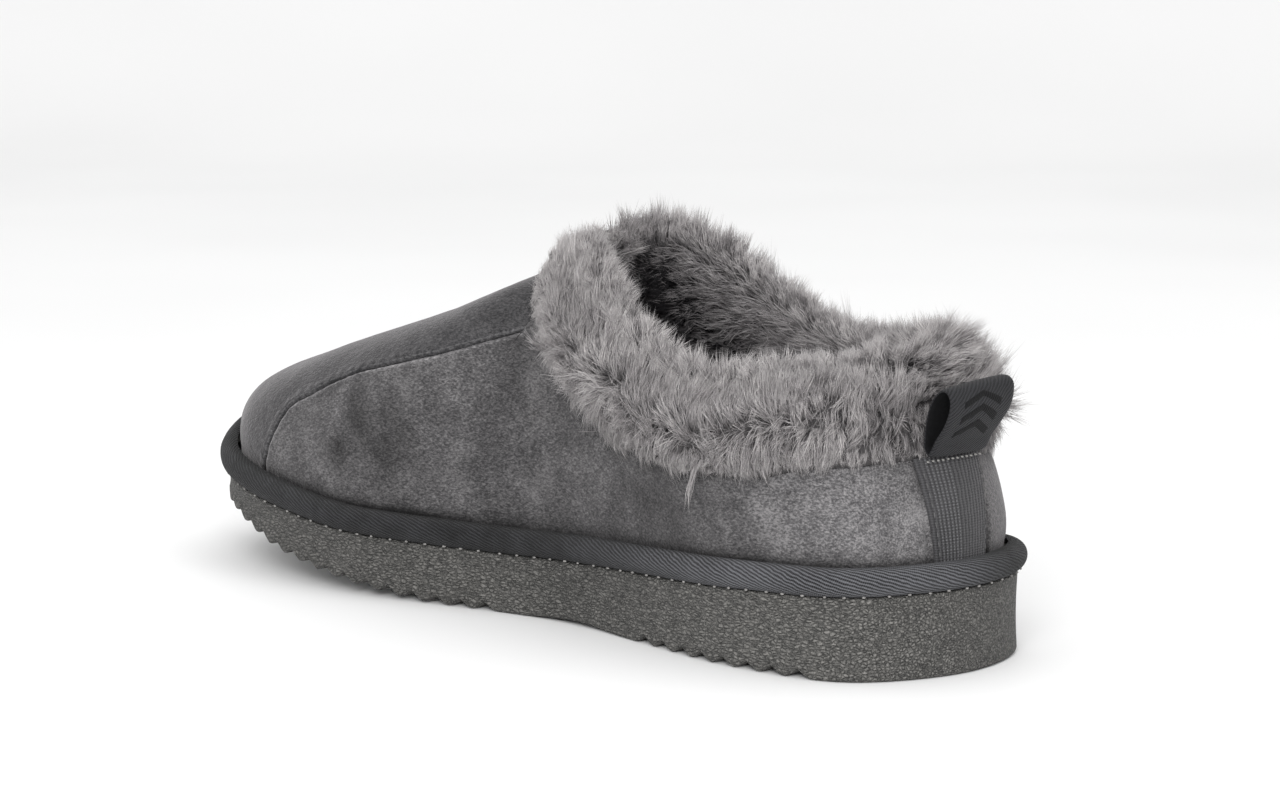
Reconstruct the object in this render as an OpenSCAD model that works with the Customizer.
// Fluffy closed-heel house slipper, left foot, about EU 39-40.
// Units are millimetres. The toe points to -Y, the heel to +Y, +X is the
// outer (lateral) side of the foot and the ground is z = 0.
// The upper is one parametric skin: every panel, lining and stiffener is a
// patch of that skin, moved inward or outward by its own distance.

/* [Overall] */
// Half of the overall length, toe tip to heel back
half_length = 144; // [130:1:158]
// Half width of the heel, measured at the rand
heel_half_width = 42; // [36:0.5:48]
// Half width of the waist, lateral side
waist_lateral = 34.8; // [30:0.2:40]
// Half width of the waist, medial side
waist_medial = 35.6; // [30:0.2:40]
// Half width of the ball, lateral side
ball_lateral = 50.8; // [44:0.2:56]
// Half width of the ball, medial side
ball_medial = 50.6; // [44:0.2:56]
// Half width of the toe box, lateral side
toe_lateral = 43; // [36:0.5:48]
// Half width of the toe box, medial side
toe_medial = 44.8; // [36:0.2:50]
// Sideways shift of the toe tip toward the medial side
toe_shift = 4.2; // [0:0.2:10]
// Heel corner fullness
heel_corner = 0.79; // [0.7:0.01:0.9]

/* [Sole] */
// How far the outsole wall sits inside the rand
sole_inset = 2.6; // [1:0.1:5]
// Depth of the scalloped tread
tread_depth = 2.1; // [1:0.1:4]
// Pitch of the forefoot tread scallops
front_pitch = 7.55; // [6:0.05:10]
// Number of forefoot tread grooves
front_grooves = 16; // [8:1:18]
// Pitch of the rear tread scallops
rear_pitch = 8.17; // [6:0.05:10]
// Number of rear tread grooves
rear_grooves = 8; // [4:1:10]
// Depth of the shallow arch recess
arch_depth = 1.0; // [0:0.1:3]

/* [Rand] */
// Radius of the corded rand
rand_radius = 3.75; // [3:0.05:6]
// Thickness of the rand tape
rand_skin = 0.85; // [0.5:0.05:1.5]
// Radius of the cord inside the rand
cord_radius = 1.7; // [1:0.1:3]

/* [Upper] */
// Suede panel thickness
suede_thickness = 1.3; // [0.8:0.1:2]
// Outer face of the stiffeners, below the skin
stiffener_depth = 1.7; // [1.5:0.1:2]
// Stiffener thickness
stiffener_thickness = 0.8; // [0.5:0.1:1.2]
// Outer face of the linings, below the skin
lining_depth = 2.75; // [2.6:0.1:4]
// Lining thickness
lining_thickness = 2.2; // [1.5:0.1:4]
// Half width of the foot opening
opening_half_width = 32; // [28:0.5:36]
// Y position of the front of the opening
throat_y = 6; // [0:1:15]
// Y position of the back of the opening
heel_top_y = 124.5; // [120:0.5:128]

/* [Fur cuff] */
// How far the cuff stands above the topline
cuff_rise = 9; // [5:0.5:14]
// How far the cuff stands proud of the upper
cuff_proud = 8.5; // [4:0.5:12]

/* [Heel tape and pull loop] */
// Half width of the heel tape
tape_half_width = 10.5; // [8:0.5:14]
// Ribbon thickness
ribbon_thickness = 0.9; // [0.6:0.1:1.5]
// Half width of the pull loop ribbon
loop_half_width = 10; // [7:0.5:12]

/* [Footbed] */
// Insole board thickness
board_thickness = 1.0; // [0.8:0.1:2]
// Foam footbed thickness
foam_thickness = 3.5; // [2:0.1:6]
// Fleece sock thickness
sock_thickness = 2.5; // [1.5:0.1:5]

/* [Hidden] */

// Arguments used throughout:
//   side   1 = lateral, -1 = medial
//   along  share of one side's length, 0 = toe, 1 = heel back
//   up     share of the skin's height, 0 = rand, 1 = ridge or topline
//   off    distance outward from the skin, negative = inward

// ---------------------------------------------------------------- helpers
function clamp(x, low, high) = min(max(x, low), high);
function mix(from, to, part) = from + (to - from) * part;
function smooth(x) = let (part = clamp(x, 0, 1)) part * part * (3 - 2 * part);
function unit(vector) = vector / max(norm(vector), 1e-9);
// 2D direction turned a quarter turn clockwise
function clockwise(dir) = [dir[1], -dir[0]];
function reversed(list) = [for (i = [len(list) - 1:-1:0]) list[i]];
function flipped(faces) = [for (face = faces) reversed(face)];
function steps(first, last, count) = [for (i = [0:count]) first + (last - first) * i / count];
function running_sum(list, i = 0, sums = [0]) =
    i >= len(list) ? sums
    : running_sum(list, i + 1, concat(sums, [sums[len(sums) - 1] + list[i]]));
// distance from the first point to each point of a path
function path_lengths(points) =
    running_sum([for (i = [0:len(points) - 2]) norm(points[i + 1] - points[i])]);

// shape-preserving cubic through a table of [x, value]
function segment(x, table, i = 0) =
    i >= len(table) - 2 || x < table[i + 1][0] ? i : segment(x, table, i + 1);
function run(table, i) = table[i + 1][0] - table[i][0];
function grade(table, i) = (table[i + 1][1] - table[i][1]) / run(table, i);
function end_slope(table, near, next) = let (
    run_near = run(table, near),
    run_next = run(table, next),
    near_grade = grade(table, near),
    next_grade = grade(table, next),
    slope = ((2 * run_near + run_next) * near_grade - run_near * next_grade)
        / (run_near + run_next))
    slope * near_grade <= 0 ? 0
    : near_grade * next_grade < 0 && abs(slope) > 3 * abs(near_grade) ? 3 * near_grade
    : slope;
function inner_slope(table, i) = let (
    before = grade(table, i - 1),
    after = grade(table, i),
    weight_before = 2 * run(table, i) + run(table, i - 1),
    weight_after = run(table, i) + 2 * run(table, i - 1))
    before * after <= 0 ? 0
    : (weight_before + weight_after) / (weight_before / before + weight_after / after);
function table_slope(table, i) =
    i == 0 ? end_slope(table, 0, 1)
    : i == len(table) - 1 ? end_slope(table, i - 1, i - 2)
    : inner_slope(table, i);
function curve(x, table) = let (
    inside = clamp(x, table[0][0], table[len(table) - 1][0]),
    i = segment(inside, table),
    width = run(table, i),
    part = (inside - table[i][0]) / width,
    rest = 1 - part)
    table[i][1] * (1 + 2 * part) * rest * rest
    + width * table_slope(table, i) * part * rest * rest
    + table[i + 1][1] * part * part * (3 - 2 * part)
    + width * table_slope(table, i + 1) * part * part * (part - 1);

// centripetal spline between start and end
function knot_gap(from, to) = sqrt(norm(to - from));
function blend(from, to, from_knot, to_knot, knot) =
    (from * (to_knot - knot) + to * (knot - from_knot)) / (to_knot - from_knot);
function spline_point(before, start, end, after, part) = let (
    start_knot = knot_gap(before, start),
    end_knot = start_knot + knot_gap(start, end),
    after_knot = end_knot + knot_gap(end, after),
    knot = mix(start_knot, end_knot, part),
    first = blend(before, start, 0, start_knot, knot),
    middle = blend(start, end, start_knot, end_knot, knot),
    last = blend(end, after, end_knot, after_knot, knot))
    blend(blend(first, middle, 0, end_knot, knot),
          blend(middle, last, start_knot, after_knot, knot),
          start_knot, end_knot, knot);

// ---------------------------------------------------------------- outline
tip_x = -toe_shift;
// control points [x, y], toe tip to heel back on the lateral side
LATERAL_CONTROLS = [
    [tip_x, -half_length],
    [tip_x + (toe_lateral - tip_x) * 0.52, -half_length + 9.5],
    [toe_lateral, -half_length + 36],
    [ball_lateral, -55],
    [waist_lateral, 18],
    [heel_half_width, 96],
    [heel_half_width * heel_corner, half_length - 13],
    [0, half_length]];
// and back toward the toe on the medial side
MEDIAL_CONTROLS = [
    [-heel_half_width * heel_corner, half_length - 13],
    [-heel_half_width, 96],
    [-waist_medial, 10],
    [-ball_medial, -62],
    [-toe_medial, -half_length + 36],
    [tip_x - (toe_medial + tip_x) * 0.56, -half_length + 10]];
CONTROLS = concat(LATERAL_CONTROLS, MEDIAL_CONTROLS);
SPLINE_STEPS = 12;
function control(i) = CONTROLS[(i + len(CONTROLS)) % len(CONTROLS)];
OUTLINE = [for (i = [0:len(CONTROLS) - 1]) for (k = [0:SPLINE_STEPS - 1])
    spline_point(control(i - 1), control(i), control(i + 1), control(i + 2), k / SPLINE_STEPS)];
OUTLINE_COUNT = len(OUTLINE);
HEEL_INDEX = (len(LATERAL_CONTROLS) - 1) * SPLINE_STEPS;
function outline_point(i) = OUTLINE[(i + OUTLINE_COUNT) % OUTLINE_COUNT];
OUTLINE_NORMALS = [for (i = [0:OUTLINE_COUNT - 1])
    clockwise(unit(outline_point(i + 1) - outline_point(i - 1)))];

// the toe-to-heel half of a list that runs round the outline
function half_of(side, list) = side > 0
    ? [for (i = [0:HEEL_INDEX]) list[i]]
    : [for (i = [0:OUTLINE_COUNT - HEEL_INDEX]) list[(OUTLINE_COUNT - i) % OUTLINE_COUNT]];
function arc_shares(points) = let (lengths = path_lengths(points))
    [for (length = lengths) length / lengths[len(lengths) - 1]];
// lookup tables of [along, x] and [along, y]
function xy_tables(shares, points) = [for (axis = [0, 1])
    [for (i = [0:len(points) - 1]) [shares[i], points[i][axis]]]];
function inset_tables(side, inset) = let (points = half_of(side,
    [for (i = [0:OUTLINE_COUNT - 1]) OUTLINE[i] - OUTLINE_NORMALS[i] * inset]))
    xy_tables(arc_shares(points), points);
// value at one place from a [medial, lateral] pair of tables
function at(pair, side, along) = [for (table = pair[(side + 1) / 2]) lookup(along, table)];

PLAN = [for (side = [-1, 1]) inset_tables(side, 0)];
PLAN_NORMALS = [for (side = [-1, 1])
    xy_tables(arc_shares(half_of(side, OUTLINE)), half_of(side, OUTLINE_NORMALS))];
function plan_normal(side, along) = unit(at(PLAN_NORMALS, side, along));
function inset_point(side, along, inset) = at(PLAN, side, along) - plan_normal(side, along) * inset;
// closed plan shape: outline moved inward, with an extra inset at the toe
function inset_plan(inset, toe_inset, count) = let (
    sides = [for (side = [1, -1]) [for (along = steps(0, 1, count))
        inset_point(side, along, inset + toe_inset * smooth((0.16 - along) / 0.16))]])
    concat(sides[0], [for (i = [count - 1:-1:1]) sides[1][i]]);

// top of the outsole: [y, z]
SOLE_TOP = [[-150, 34.4], [-125, 27.3], [-100, 23.4], [-75, 20.2], [-45, 17.2], [0, 16.2],
            [45, 17.8], [80, 19.6], [110, 21], [150, 22]];
function sole_top(y) = curve(y, SOLE_TOP);
// underside, with toe spring, flat arch and heel: [y, z]
SOLE_BOTTOM = [[-150, 18.2], [-127, 17.2], [-110, 16], [-95, 12.3], [-80, 8.3], [-65, 5.7],
               [-50, 3.4], [-35, 1.6], [-20, 0.3], [-8, 0], [150, 0]];
function sole_bottom(y) = curve(y, SOLE_BOTTOM);

// ---------------------------------------------------------------- skin of the upper
THROAT = 0.47; // along, at the front of the opening
RIDGE_START_Y = -116;
// centre ridge from the toe to the throat: [y, z]
RIDGE = [[-118, 49.6], [-108, 54.8], [-95, 60], [-80, 65], [-65, 70.6], [-50, 75.7],
         [-35, 81.2], [-20, 87.2], [-5, 93.6], [6, 98.6]];
// topline from the throat to the heel: [y, z]
TOPLINE = [[6, 98.6], [15, 97.6], [25, 94.5], [36, 88.5], [46, 82.5], [56, 77.5], [66, 74.5],
           [78, 73], [92, 74], [106, 77], [118, 79], [126, 79.5]];
// foot of the skin: inset from the outline and height over the outsole
FOOT_INSET = 5.7;
FOOT_RISE = 5.5;
FOOT_LINE = [for (side = [-1, 1]) inset_tables(side, FOOT_INSET)];
// a line 1 mm further out, which gives the outward direction
FOOT_OUTER_LINE = [for (side = [-1, 1]) inset_tables(side, FOOT_INSET - 1)];

function ridge_point(part) = let (y = mix(RIDGE_START_Y, throat_y, part))
    [-toe_shift * 0.8 * clamp(1 - 1.1 * part, 0, 1), y, curve(y, RIDGE)];
function opening_point(side, angle) = let (y = mix(throat_y, heel_top_y, (1 - cos(angle)) / 2))
    [side * opening_half_width * pow(max(sin(angle), 0), 0.8), y, curve(y, TOPLINE)];
function top_point(side, along) = along <= THROAT
    ? ridge_point(along / THROAT)
    : opening_point(side, 180 * (along - THROAT) / (1 - THROAT));
// the same line, averaged across the throat corner, for the shape further down
function soft_top(side, along) = abs(along - THROAT) > 0.1 ? top_point(side, along)
    : let (reach = 0.055 * smooth((0.1 - abs(along - THROAT)) / 0.05))
      (top_point(side, along - reach) + top_point(side, along - reach / 2)
       + top_point(side, along)
       + top_point(side, along + reach / 2) + top_point(side, along + reach)) / 5;
function ridge_slope(y) = (curve(y + 2, RIDGE) - curve(y - 2, RIDGE)) / 4;
// cubic Bezier from the foot of the skin to its top edge
function skin(side, along, up) = let (
    foot_xy = at(FOOT_LINE, side, along),
    out_xy = unit(at(FOOT_OUTER_LINE, side, along) - foot_xy),
    foot = [foot_xy[0], foot_xy[1], sole_top(foot_xy[1]) + FOOT_RISE],
    out = [out_xy[0], out_xy[1], 0],
    top = top_point(side, along),
    soft = soft_top(side, along),
    span = [foot[0] - soft[0], foot[1] - soft[1], 0],
    width = norm(span),
    height = soft[2] - foot[2],
    away = span / max(width, 1e-6),
    // weights of the quarter shape, the ridge slope and the fuller toe
    quarter = smooth((along - THROAT + 0.10) / 0.22),
    tilt = mix(0.7, 0.5, smooth(along / 0.12)) * (1 - smooth((along - 0.36) / 0.1)),
    toe = 1 - smooth((along - 0.05) / 0.14),
    lower = foot + out * (mix(2.0, 0.9, quarter) + 0.7 * toe)
        + [0, 0, height * (mix(0.62, 0.45, quarter) + 0.05 * toe)],
    vamp_upper = soft + away * width * 0.56
        + [0, 0, ridge_slope(soft[1]) * away[1] * width * 0.56 * tilt - height * 0.03],
    quarter_upper = soft + out * 0.2 + away * width * 0.33 - [0, 0, height * 0.40],
    upper = mix(vamp_upper, quarter_upper, quarter),
    down = 1 - up)
    foot * down * down * down + lower * 3 * down * down * up
    + upper * 3 * down * up * up + top * up * up * up;
// skin that carries on round the toe and heel onto the other side
function wrapped_skin(side, along, up) =
    along < 0 ? skin(-side, -along, up)
    : along > 1 ? skin(-side, 2 - along, up)
    : skin(side, along, up);
function raw_normal(side, along, up) = let (
    along_step = 0.004,
    up_step = 0.01,
    along_dir = wrapped_skin(side, along + along_step, up)
        - wrapped_skin(side, along - along_step, up),
    up_dir = skin(side, along, min(up + up_step, 1)) - skin(side, along, max(up - up_step, 0)))
    unit(cross(along_dir, up_dir)) * side;
// outward normal, kept off the throat corner and averaged on the ridge
function skin_normal(side, along, up) = let (
    clear = along > THROAT ? max(along, THROAT + 0.006) : min(along, THROAT - 0.006))
    along <= THROAT && up > 0.999
    ? unit(raw_normal(1, clear, 0.985) + raw_normal(-1, clear, 0.985))
    : raw_normal(side, clear, up);
function off_point(side, along, up, off) =
    skin(side, along, up) + skin_normal(side, along, up) * off;

// ---------------------------------------------------------------- builders
// centres the whole slipper on the origin in plan
module place() translate([-0.1, -1.3, 0]) children();
// two triangles that share the diagonal from the first to the third corner
function quad(first, second, third, fourth) = [[first, second, third], [first, third, fourth]];
// closed solid between two grids of points, outer[i][k] and inner[i][k]
module sheet(outer, inner, flip = false) {
    rows = len(outer);
    cols = len(outer[0]);
    last_row = rows - 1;
    last_col = cols - 1;
    function out(i, k) = i * cols + k;
    function inn(i, k) = (rows + i) * cols + k;
    faces = concat(
        [for (i = [0:rows - 2]) for (k = [0:cols - 2]) each concat(
            quad(out(i, k), out(i, k + 1), out(i + 1, k + 1), out(i + 1, k)),
            quad(inn(i, k), inn(i + 1, k), inn(i + 1, k + 1), inn(i, k + 1)))],
        [for (i = [0:rows - 2]) each concat(
            quad(out(i, 0), out(i + 1, 0), inn(i + 1, 0), inn(i, 0)),
            quad(out(i, last_col), inn(i, last_col), inn(i + 1, last_col), out(i + 1, last_col)))],
        [for (k = [0:cols - 2]) each concat(
            quad(out(0, k), inn(0, k), inn(0, k + 1), out(0, k + 1)),
            quad(out(last_row, k), out(last_row, k + 1),
                 inn(last_row, k + 1), inn(last_row, k)))]);
    polyhedron(points = [for (grid = [outer, inner]) for (row = grid) each row],
               faces = flip ? flipped(faces) : faces, convexity = 8);
}
// two mirrored half grids that share the toe line (i = 0) and the ridge (last k)
module saddle(outer, inner) {
    rows = len(outer[0]);
    cols = len(outer[0][0]);
    last = rows - 1;
    function shared(i, k) = i == 0 || k == cols - 1;
    function id(layer, half, i, k) =
        (layer * 2 + (shared(i, k) ? 0 : half)) * rows * cols + i * cols + k;
    function out(half, i, k) = id(0, half, i, k);
    function inn(half, i, k) = id(1, half, i, k);
    function half_faces(h) = concat(
        [for (i = [0:rows - 2]) for (k = [0:cols - 2]) each concat(
            quad(out(h, i, k + 1), out(h, i + 1, k + 1), out(h, i + 1, k), out(h, i, k)),
            quad(inn(h, i, k + 1), inn(h, i, k), inn(h, i + 1, k), inn(h, i + 1, k + 1)))],
        [for (i = [0:rows - 2]) each
            quad(out(h, i, 0), out(h, i + 1, 0), inn(h, i + 1, 0), inn(h, i, 0))],
        [for (k = [0:cols - 2]) each
            quad(out(h, last, k), out(h, last, k + 1), inn(h, last, k + 1), inn(h, last, k))]);
    polyhedron(points = [for (layer = [outer, inner]) for (half = layer) for (row = half) each row],
               faces = concat(half_faces(0), flipped(half_faces(1))), convexity = 8);
}
// closed ring of sections, each a closed loop of points
module ring(sections, flip = false) {
    count = len(sections);
    size = len(sections[0]);
    function id(i, k) = (i % count) * size + k % size;
    faces = [for (i = [0:count - 1]) for (k = [0:size - 1]) each
        quad(id(i, k), id(i, k + 1), id(i + 1, k + 1), id(i + 1, k))];
    polyhedron(points = [for (section = sections) each section],
               faces = flip ? flipped(faces) : faces, convexity = 8);
}
// grid on the skin; a strip is [side, along, low up, high up]
function skin_grid(strips, count, off) = [for (strip = strips) [for (k = [0:count])
    off_point(strip[0], strip[1], mix(strip[2], strip[3], k / count), off)]];
// strips given as [along, low up, high up], put on one side
function on_side(side, strips) = [for (strip = strips) concat(side, strip)];
module skin_sheet(strips, count, off, thickness, flip = false)
    sheet(skin_grid(strips, count, off), skin_grid(strips, count, off - thickness), flip);
// the same strips on both sides, joined over the ridge
module skin_saddle(strips, count, off, thickness) {
    function halves(off) = [for (side = [1, -1]) skin_grid(on_side(side, strips), count, off)];
    saddle(halves(off), halves(off - thickness));
}
// [side, along] stations from the lateral side round the heel to the medial side
function around_heel(stations) = concat(
    [for (along = stations) [1, along]], [[1, 1]],
    [for (along = reversed(stations)) [-1, along]]);
// plan shape cut to a [y, z] profile that runs right across the foot
module profiled_slab(height, outline, profile) {
    intersection() {
        linear_extrude(height = height) polygon(outline);
        rotate([90, 0, 90]) translate([0, 0, -80]) linear_extrude(height = 160) polygon(profile);
    }
}
// slab between two heights above the top of the outsole
module layer(inset, toe_inset, bottom, top) {
    stations = steps(-half_length, half_length, 20);
    profiled_slab(90, inset_plan(inset, toe_inset, 36), concat(
        [for (y = stations) [y, sole_top(y) + bottom]],
        [for (y = reversed(stations)) [y, sole_top(y) + top]]));
}
// small stitch: a six-cornered bead from start to end, thickest halfway
module stitch(start, end, normal, radius) {
    middle = (start + end) / 2;
    across = unit(cross(end - start, normal));
    polyhedron(
        points = [start, end, middle + across * radius, middle - across * radius,
                  middle + normal * radius, middle - normal * radius],
        faces = [[0, 4, 2], [0, 3, 4], [0, 5, 3], [0, 2, 5],
                 [1, 2, 4], [1, 4, 3], [1, 3, 5], [1, 5, 2]]);
}

// ---------------------------------------------------------------- sole and footbed
FIRST_FRONT_GROOVE_Y = -4.7;
FIRST_REAR_GROOVE_Y = 58.6;
ARCH_START_Y = 4;
ARCH_LENGTH = 48;
SOLE_END_Y = 150;
// bottoms of the footbed layers, above the top of the outsole
BOARD_BASE = 5.25;
FOAM_BASE = BOARD_BASE + board_thickness + 0.15;
SOCK_BASE = FOAM_BASE + foam_thickness + 0.2;

// groove section [y, height]
function groove(y) = [
    [y - 3.1, 0], [y - 1.5, 0.30 * tread_depth], [y - 0.2, tread_depth],
    [y + 0.5, 0.95 * tread_depth], [y + 1.7, 0.28 * tread_depth], [y + 3.1, 0]];
function tread_profile() = concat(
    [for (y = [-150, -140, -130]) [y, sole_bottom(y)]],
    [for (j = [front_grooves - 1:-1:0])
        for (point = groove(FIRST_FRONT_GROOVE_Y - front_pitch * j))
            [point[0], point[1] + sole_bottom(point[0])]],
    [for (part = steps(0, 1, 8))
        [ARCH_START_Y + ARCH_LENGTH * part, arch_depth * pow(sin(180 * part), 2)]],
    [for (j = [0:rear_grooves - 1]) each groove(FIRST_REAR_GROOVE_Y + rear_pitch * j)],
    [[SOLE_END_Y, 0]]);
module outsole() place() color([0.26, 0.255, 0.25])
    profiled_slab(60, inset_plan(sole_inset, 0, 56), concat(
        tread_profile(),
        [for (y = reversed(steps(-SOLE_END_Y, SOLE_END_Y, 30))) [y, sole_top(y)]]));
module midsole_platform() place() color([0.32, 0.32, 0.32])
    layer(inset = 6.0, toe_inset = 0, bottom = 0.15, top = 5.0);
module insole_board() place() color([0.72, 0.66, 0.55])
    layer(inset = 8.6, toe_inset = 2, bottom = BOARD_BASE, top = BOARD_BASE + board_thickness);
module footbed_foam() place() color([0.85, 0.83, 0.78])
    layer(inset = 12.6, toe_inset = 9, bottom = FOAM_BASE, top = FOAM_BASE + foam_thickness);
module fleece_sock() place() color([0.56, 0.53, 0.54])
    layer(inset = 13.2, toe_inset = 11, bottom = SOCK_BASE, top = SOCK_BASE + sock_thickness);

// ---------------------------------------------------------------- rand
RAND_GAP = 0.05;
RAND_STEPS = 44; // per side
CORD_SHIFT = 0.9; // outward from the rand centre
RAND_STITCHES = 42; // per side
RAND_STITCH_INSET = 1.8;
RAND_STATIONS = concat([for (i = [0:RAND_STEPS - 1]) [1, i / RAND_STEPS]],
                       [for (i = [0:RAND_STEPS - 1]) [-1, 1 - i / RAND_STEPS]]);
// [centre, outward direction] of the rand section at a [side, along] station
function rand_frame(station) = let (
    side = station[0],
    along = station[1],
    centre = inset_point(side, along, rand_radius),
    out = plan_normal(side, along))
    [[centre[0], centre[1],
      sole_top(inset_point(side, along, 2.2)[1]) + rand_radius + RAND_GAP],
     [out[0], out[1], 0]];
function rand_arc(centre, out, radius, angles) = [for (angle = angles)
    centre + out * radius * cos(angle) + [0, 0, radius * sin(angle)]];
module rand_tape() place() color([0.17, 0.175, 0.19]) {
    angles = steps(112, -103, 6);
    radius = rand_radius - RAND_GAP;
    ring([for (station = RAND_STATIONS) let (frame = rand_frame(station)) concat(
        rand_arc(frame[0], frame[1], radius, angles),
        rand_arc(frame[0], frame[1], radius - rand_skin, reversed(angles)))], flip = true);
}
module rand_cord() place() color([0.6, 0.6, 0.6])
    ring([for (station = RAND_STATIONS) let (frame = rand_frame(station))
        rand_arc(frame[0] + frame[1] * CORD_SHIFT, frame[1], cord_radius, [0:60:300])]);
function rand_stitch_end(side, along) = let (point = inset_point(side, along, RAND_STITCH_INSET))
    [point[0], point[1], sole_top(point[1]) + 0.22];
module rand_stitching() place() color([0.8, 0.8, 0.78])
    for (side = [-1, 1]) for (i = [0:RAND_STITCHES - 1])
        stitch(rand_stitch_end(side, (i + 0.3) / RAND_STITCHES),
               rand_stitch_end(side, (i + 0.7) / RAND_STITCHES), [0, 0, 1], 0.26);

// ---------------------------------------------------------------- suede panels
PANEL_STEPS = 8;
SEAM_GAP = 0.006; // each panel's distance from the seam, in up
// seam between the vamp and the side panels: [along, up]
SEAM = [[0.215, 0], [0.223, 0.075], [0.230, 0.18], [0.238, 0.285], [0.260, 0.345],
        [0.280, 0.395], [0.315, 0.44], [0.360, 0.455], [0.390, 0.46], [0.415, 0.48],
        [0.438, 0.515], [0.460, 0.56], [0.475, 0.60]];
function seam_up(along) = lookup(along, SEAM);
// along stations shared by the vamp and the side panels
SEAM_STATIONS = [0.219, 0.223, 0.2265, 0.230, 0.234, 0.238, 0.249, 0.260, 0.280, 0.3, 0.32,
                 0.345, 0.37, 0.395, 0.42, 0.445, 0.469];
module vamp_panel() place() color([0.33, 0.32, 0.33])
    skin_saddle(
        [for (along = concat(steps(0, 0.215, 9), SEAM_STATIONS))
            [along, along <= 0.2151 ? 0 : min(seam_up(along) + SEAM_GAP, 0.98), 1]],
        PANEL_STEPS, 0, suede_thickness);
module side_panel(side)
    skin_sheet(
        on_side(side, [for (along = concat(SEAM_STATIONS, steps(0.4765, 0.9985, 22)))
            along < THROAT
            ? [along + 0.002, 0, max(seam_up(along) - SEAM_GAP, 0.02)]
            : [along, 0, 1]]),
        PANEL_STEPS, 0, suede_thickness, flip = side < 0);
module side_panel_lateral() place() color([0.36, 0.35, 0.36]) side_panel(1);
module side_panel_medial() place() color([0.36, 0.35, 0.36]) side_panel(-1);

SEAM_STITCH_PITCH = 4.2;
SEAM_STITCH_LENGTH = 2.4;
STITCH_LINE = concat(steps(0.218, 0.26, 24), steps(0.262, 0.45, 40));
module seam_stitches(side) {
    points = [for (along = STITCH_LINE)
        off_point(side, along, min(seam_up(along) + 0.035, 0.97), 0.12)];
    lengths = path_lengths(points);
    last = len(points) - 1;
    tables = [for (axis = [0:2]) [for (i = [0:last]) [lengths[i], points[i][axis]]]];
    along_table = [for (i = [0:last]) [lengths[i], STITCH_LINE[i]]];
    function point_at(distance) = [for (table = tables) lookup(distance, table)];
    function normal_at(distance) = let (along = lookup(distance, along_table))
        skin_normal(side, along, seam_up(along));
    for (i = [1:floor(lengths[last] / SEAM_STITCH_PITCH) - 1]) {
        start = SEAM_STITCH_PITCH * i;
        stitch(point_at(start), point_at(start + SEAM_STITCH_LENGTH),
               normal_at(start + SEAM_STITCH_LENGTH / 2), 0.34);
    }
}
module vamp_seam_stitching() place() color([0.5, 0.5, 0.5]) {
    seam_stitches(1);
    seam_stitches(-1);
}

// ---------------------------------------------------------------- stiffeners and linings
TOE_STATIONS = [0.02, 0.045, 0.07, 0.1, 0.13, 0.16, 0.19];
COUNTER_STATIONS = [0.80, 0.825, 0.85, 0.875, 0.9, 0.925, 0.945, 0.965, 0.985];
// both stiffeners lie between the suede and the lining
module stiffener(strips) skin_sheet(strips, 6, -stiffener_depth, stiffener_thickness);
module toe_puff() place() color([0.78, 0.74, 0.66])
    stiffener(concat(
        [for (along = reversed(TOE_STATIONS)) [-1, along, 0.05, 0.72]],
        [for (along = concat(0, TOE_STATIONS)) [1, along, 0.05, 0.72]]));
module heel_counter() place() color([0.78, 0.74, 0.66])
    stiffener([for (station = around_heel(COUNTER_STATIONS))
        [station[0], station[1], 0.05, 0.62 - 0.2 * pow((1 - station[1]) / 0.2, 2)]]);
module vamp_lining() place() color([0.5, 0.48, 0.49])
    skin_saddle(
        [for (along = concat(0, TOE_STATIONS, steps(0.225, 0.466, 8))) [along, 0.08, 1]],
        7, -lining_depth, lining_thickness);
module quarter_lining(side)
    skin_sheet(
        on_side(side, [for (along = steps(0.4785, 0.9985, 20)) [along, 0.05, 0.985]]),
        7, -lining_depth, lining_thickness, flip = side < 0);
module quarter_lining_lateral() place() color([0.5, 0.48, 0.49]) quarter_lining(1);
module quarter_lining_medial() place() color([0.5, 0.48, 0.49]) quarter_lining(-1);

// ---------------------------------------------------------------- fur cuff
CUFF_SECTIONS = 46;
CUFF_INNER = lining_depth + lining_thickness + 0.35; // depth of its inner face
// lower edge on the skin: [rim, along, up], rim 0 = throat, 1 = heel
CUFF_EDGE = [
    [0, 0.405, 1], [0.03, 0.430, 0.885], [0.05, 0.445, 0.81], [0.075, 0.454, 0.735],
    [0.1, 0.469, 0.67], [0.15, 0.502, 0.625], [0.2, 0.527, 0.58], [0.27, 0.575, 0.525],
    [0.33, 0.605, 0.46], [0.4, 0.645, 0.40], [0.46, 0.68, 0.41], [0.52, 0.718, 0.42],
    [0.58, 0.753, 0.435], [0.64, 0.787, 0.445], [0.7, 0.823, 0.445], [0.77, 0.858, 0.48],
    [0.86, 0.902, 0.49], [0.93, 0.945, 0.505], [1, 1, 0.515]];
EDGE_ALONG = [for (row = CUFF_EDGE) [row[0], row[1]]];
EDGE_UP = [for (row = CUFF_EDGE) [row[0], row[2]]];
// height of the pile over the topline: [rim, share of cuff_rise]
RISE_LATERAL = [[0, 0.75], [0.06, 0.8], [0.15, 0.88], [0.25, 0.86], [0.35, 0.74], [0.5, 0.6],
                [0.8, 0.58], [0.9, 0.55], [1, 0.52]];
RISE_MEDIAL = [[0, 0.78], [0.05, 0.95], [0.12, 1.05], [0.2, 1.05], [0.3, 1], [0.75, 0.95],
               [0.85, 0.78], [0.95, 0.6], [1, 0.52]];
function rim_along(rim) = mix(THROAT, 1, rim);
function cuff_top(side, rim) = top_point(side, rim_along(rim));
function cuff_edge(side, rim) = skin(side, lookup(rim, EDGE_ALONG), lookup(rim, EDGE_UP));
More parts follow.
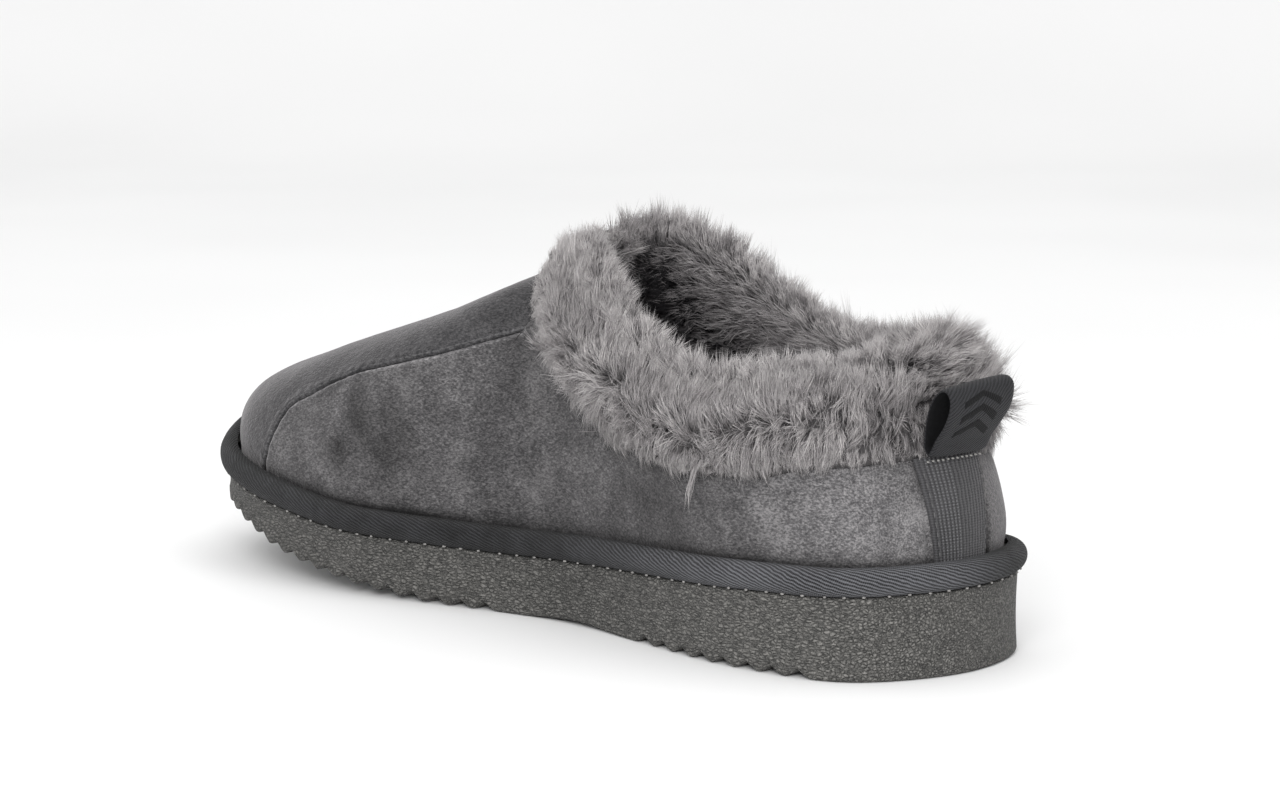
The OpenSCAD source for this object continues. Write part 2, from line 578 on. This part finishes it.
// turn runs 0..1 from throat to heel on the lateral side, 1..2 back on the medial side
function rim_at(turn) = let (wrapped = turn < 0 ? turn + 2 : turn > 2 ? turn - 2 : turn)
    wrapped <= 1 ? [1, wrapped] : [-1, 2 - wrapped];
function band_middle(turn) = let (station = rim_at(turn))
    (cuff_top(station[0], station[1]) + cuff_edge(station[0], station[1])) / 2;
function cuff_section(turn) = let (
    side = rim_at(turn)[0],
    rim = rim_at(turn)[1],
    top = cuff_top(side, rim),
    edge = cuff_edge(side, rim),
    rise_dir = unit(top - edge),
    out = unit(cross(band_middle(turn + 0.03) - band_middle(turn - 0.03), top - edge)),
    edge_along = lookup(rim, EDGE_ALONG),
    on_skin = smooth((rim - 0.02) / 0.06), // 0 at the throat, where the cuff bridges
    middle = mix(
        (edge + top) / 2 + out * 1.2,
        skin(side, mix(edge_along, max(rim_along(rim), edge_along), 0.5),
             mix(lookup(rim, EDGE_UP), 1, 0.5)),
        on_skin),
    inner_along = max(rim_along(rim), THROAT + 0.02),
    inner = mix(
        top - out * CUFF_INNER - rise_dir * 7,
        off_point(side, inner_along, 0.88, -CUFF_INNER),
        on_skin),
    top_out = mix(out, skin_normal(side, inner_along, 0.98), on_skin),
    // pressed flat behind the pull loop
    pile = rim > 0.8 ? smooth((abs(top[0]) - 5) / 12) : 1,
    proud = cuff_proud * mix(0.32, 1, smooth((rim - 0.06) / 0.22)),
    heel = smooth((rim - 0.72) / 0.2),
    rise = cuff_rise * lookup(rim, side > 0 ? RISE_LATERAL : RISE_MEDIAL))
    [edge + out * 0.45,
     middle + out * 0.6,
     top + out * 0.5 + rise_dir * 0.7,
     top - top_out * CUFF_INNER + rise_dir * 0.7,
     inner,
     inner - top_out * 1.3,
     top - top_out * (CUFF_INNER + 2.0) + rise_dir * 2,
     top - out * 1.5 + rise_dir * (rise - 1),
     top + out * (3 + heel) + rise_dir * rise,
     top + out * mix(4.2, proud - 0.5 + 2.5 * heel, pile) + rise_dir * mix(5, 3, pile),
     middle + out * mix(1.9, proud + 1.5 * heel, pile),
     edge + out * mix(0.9, proud * 0.55, pile) + (middle - edge) * 0.15];
module fur_cuff() place() color([0.6, 0.57, 0.58])
    ring([for (i = [0:CUFF_SECTIONS - 1]) cuff_section(2 * i / CUFF_SECTIONS)], flip = true);

// ---------------------------------------------------------------- heel tape
TAPE_GAP = 0.15;
TAPE_STATIONS = around_heel([0.9665, 0.974, 0.982, 0.991]);
TAPE_STITCH_ALONG = 0.971;
// the tape is a little wider at the top than at the bottom
function tape_along(along, up) = 1 - (1 - along) * (1 + 0.64 * (up - 0.25));
function tape_point(side, along, up, off) = off_point(side, tape_along(along, up), up, off);
module heel_tape() {
    function grid(off) = [for (station = TAPE_STATIONS) [for (k = [0:7])
        tape_point(station[0], station[1], mix(0.058, 0.50, k / 7), off)]];
    place() color([0.16, 0.165, 0.18]) sheet(grid(TAPE_GAP + ribbon_thickness), grid(TAPE_GAP));
}
module heel_tape_stitching() place() color([0.3, 0.3, 0.31])
    for (side = [-1, 1]) for (k = [0:6]) {
        up = 0.10 + 0.054 * k;
        off = 0.28 + ribbon_thickness;
        stitch(tape_point(side, TAPE_STITCH_ALONG, up, off),
               tape_point(side, TAPE_STITCH_ALONG, up + 0.03, off),
               skin_normal(side, TAPE_STITCH_ALONG, up + 0.015), 0.12);
    }

// ---------------------------------------------------------------- pull loop
HINGE_Y = 135.2;
HINGE_Z = 54.4;
// centre line of the ribbon at its lateral and medial edges: [y, z]
LOOP_LATERAL = [[136.1, 56.0], [138.9, 60.1], [141.6, 63.7], [143.4, 67.6], [143.7, 70.8],
                [142.4, 73.0], [140.6, 73.4], [138.3, 72.0], [136.4, 69.2], [135.1, 65.3],
                [134.5, 61], [134.5, 57.6]];
LOOP_MEDIAL = [[136.3, 56.0], [139.0, 60.0], [142.0, 63.6], [144.9, 67.7], [146.0, 71.4],
               [145.8, 74.2], [143.9, 75.6], [141.0, 75.0], [138.2, 71.6], [136.0, 66.4],
               [134.8, 61.4], [134.5, 57.6]];
LOOP_STEPS = 2 * len(LOOP_LATERAL);
// point on an edge line, at a position in half steps between table points
function loop_point(line, place) = let (count = len(line), i = floor(place / 2))
    spline_point(line[(i + count - 1) % count], line[i % count],
                 line[(i + 1) % count], line[(i + 2) % count], place / 2 - i);
function loop_corner(x, line, j, off) = let (
    dir = unit(loop_point(line, (j + 1) % LOOP_STEPS)
        - loop_point(line, (j + LOOP_STEPS - 1) % LOOP_STEPS)),
    point = loop_point(line, j) + clockwise(dir) * off)
    [x, point[0], point[1]];
module pull_loop() place() color([0.17, 0.17, 0.185]) {
    half = ribbon_thickness / 2;
    ring([for (j = [0:LOOP_STEPS - 1])
        [loop_corner(loop_half_width, LOOP_LATERAL, j, half),
         loop_corner(-loop_half_width, LOOP_MEDIAL, j, half),
         loop_corner(-loop_half_width, LOOP_MEDIAL, j, -half),
         loop_corner(loop_half_width, LOOP_LATERAL, j, -half)]], flip = true);
}
// point off the outward face of the ribbon, at any x across it
function loop_middle(x, place) = mix(
    loop_point(LOOP_LATERAL, place), loop_point(LOOP_MEDIAL, place),
    (loop_half_width - x) / (2 * loop_half_width));
function loop_off(x, place, off) = let (
    dir = unit(loop_middle(x, place + 0.25) - loop_middle(x, place - 0.25)),
    point = loop_middle(x, place) + clockwise(dir) * off)
    [x, point[0], point[1]];
module chevron_arm(side, start, inner_off, outer_off) {
    function rows(off) = [for (part = [0, 0.5, 1])
        let (x = side * mix(0.25, 5, part), place = start + 0.9 * part)
        [loop_off(x, place, off), loop_off(x, place + 0.6, off)]];
    sheet(rows(outer_off), rows(inner_off), flip = side > 0);
}
// woven chevrons standing slightly proud of the outward face of the loop
module pull_loop_motif() place() color([0.07, 0.07, 0.08])
    for (i = [0:2]) for (side = [1, -1])
        chevron_arm(side, 2.2 + 1.25 * i, ribbon_thickness / 2 + 0.05, ribbon_thickness / 2 + 0.4);
module pull_loop_stitching() place() color([0.75, 0.75, 0.74])
    for (i = [-4:4]) translate([i * 2.3, HINGE_Y, HINGE_Z]) rotate([0, 90, 0])
        cylinder(h = 1.5, r = 0.45, center = true, $fn = 10);

// ---------------------------------------------------------------- build
outsole();
midsole_platform();
rand_cord();
rand_tape();
rand_stitching();
insole_board();
footbed_foam();
fleece_sock();
vamp_panel();
side_panel_lateral();
side_panel_medial();
vamp_seam_stitching();
toe_puff();
heel_counter();
vamp_lining();
quarter_lining_lateral();
quarter_lining_medial();
fur_cuff();
heel_tape();
heel_tape_stitching();
pull_loop();
pull_loop_motif();
pull_loop_stitching();
